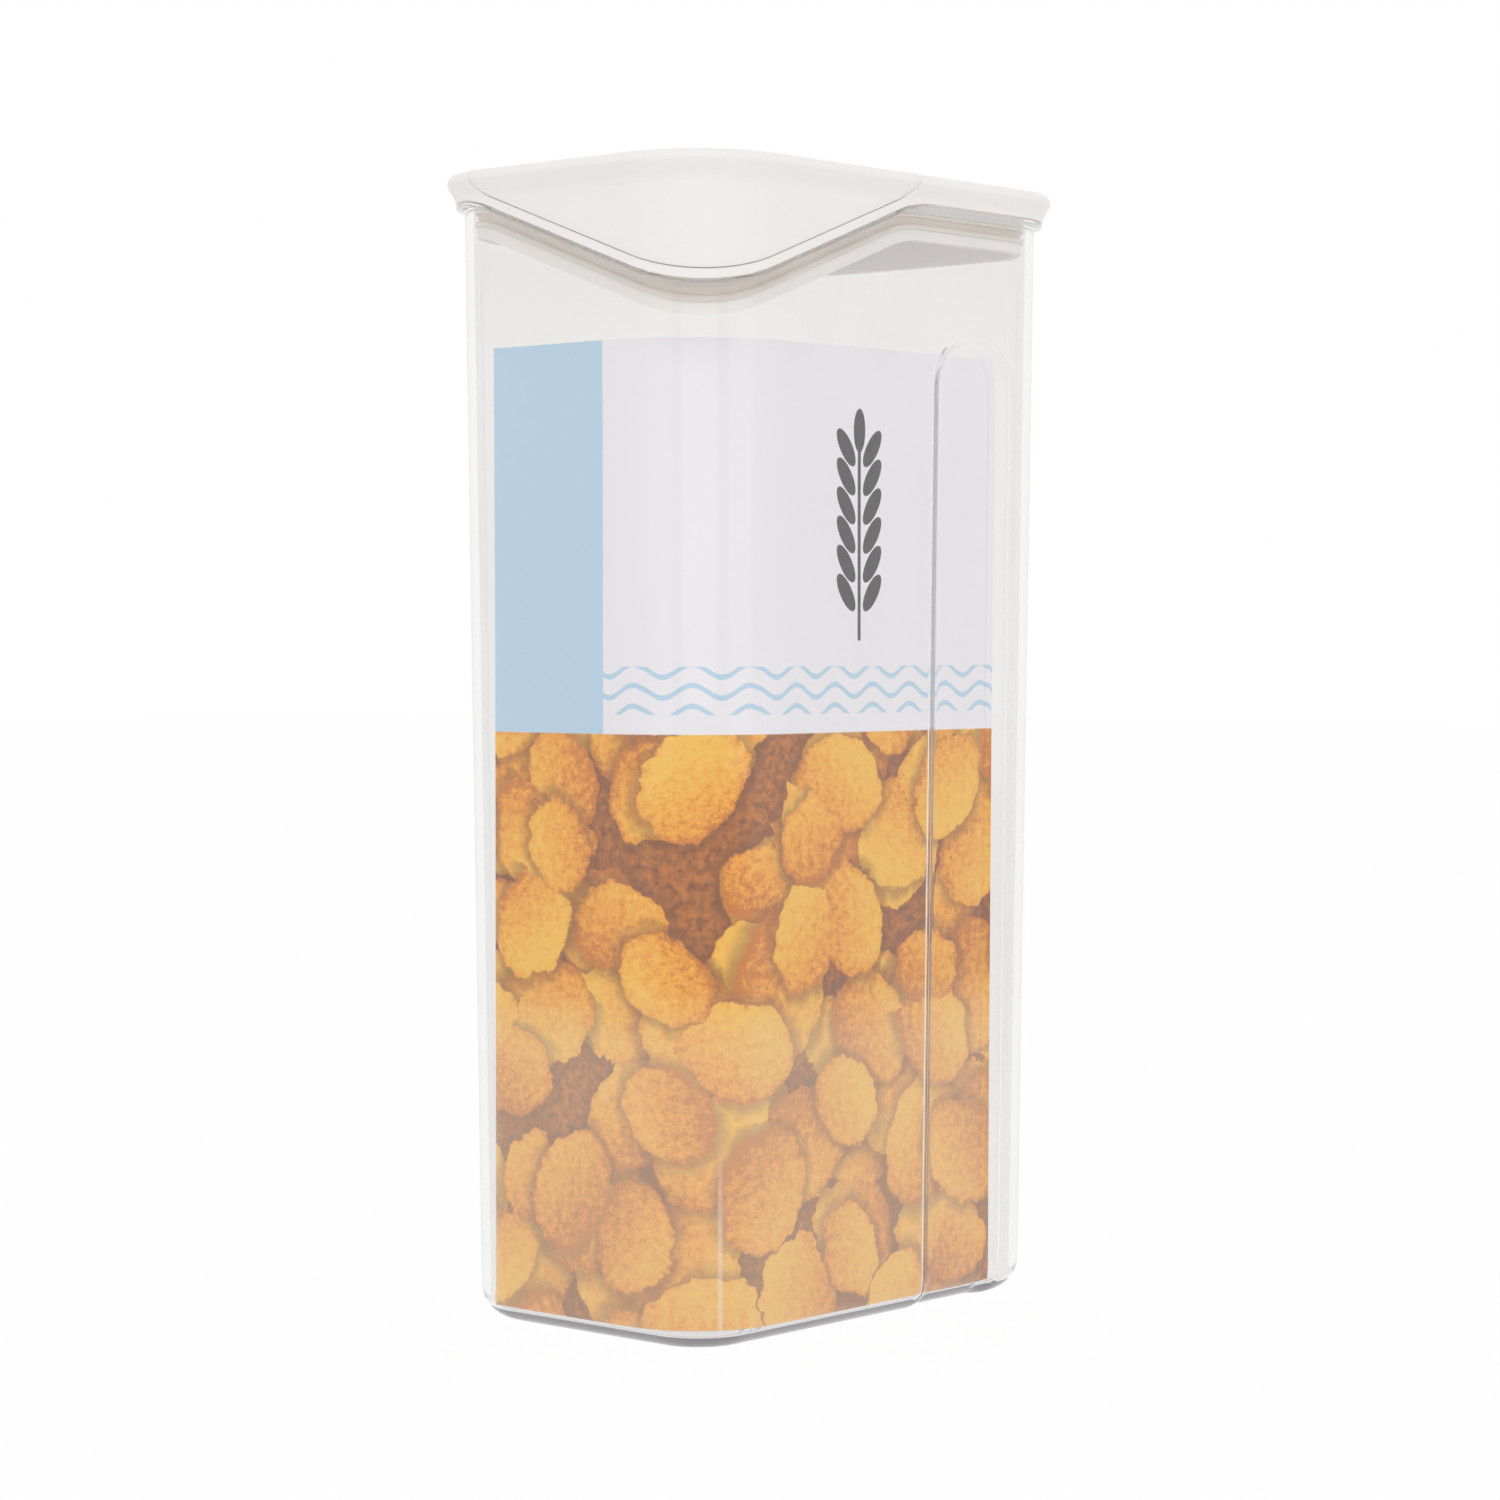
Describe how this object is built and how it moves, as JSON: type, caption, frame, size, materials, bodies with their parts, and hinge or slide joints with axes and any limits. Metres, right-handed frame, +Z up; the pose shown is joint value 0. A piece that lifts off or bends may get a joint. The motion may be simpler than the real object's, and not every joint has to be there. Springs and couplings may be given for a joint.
{
  "type": "food storage container",
  "caption": "Tall clear food storage container with a white press-in lid, a hinged pour flap across one corner and a printed card insert.",
  "frame": {"origin": "centre of the base on the surface it stands on", "axes": "+Z up, X along the long side, Y along the short side, pour corner at -X -Y"},
  "size_m": [0.155, 0.105, 0.295],
  "materials": {
    "clear_plastic": "clear gloss",
    "white_plastic": "satin white",
    "silicone": "translucent matt",
    "printed_card": "coated print"
  },
  "bodies": {
    "container": {"container_body": "clear_plastic", "label_insert": "printed_card"},
    "lid": {"lid_frame": "white_plastic", "lid_gasket": "silicone"},
    "flap": {"corner_flap": "white_plastic", "flap_gasket": "silicone"}
  },
  "joints": [
    {"name": "lid_lift", "type": "slide", "parent": "container", "child": "lid", "axis": [0, 0, 1], "range_m": [0, 0.08]},
    {"name": "flap_hinge", "type": "hinge", "parent": "lid", "child": "flap", "pos_m": [-0.04047, -0.01547, 0.2926], "axis": [-0.7071, 0.7071, 0], "range_deg": [0, 100]}
  ]
}
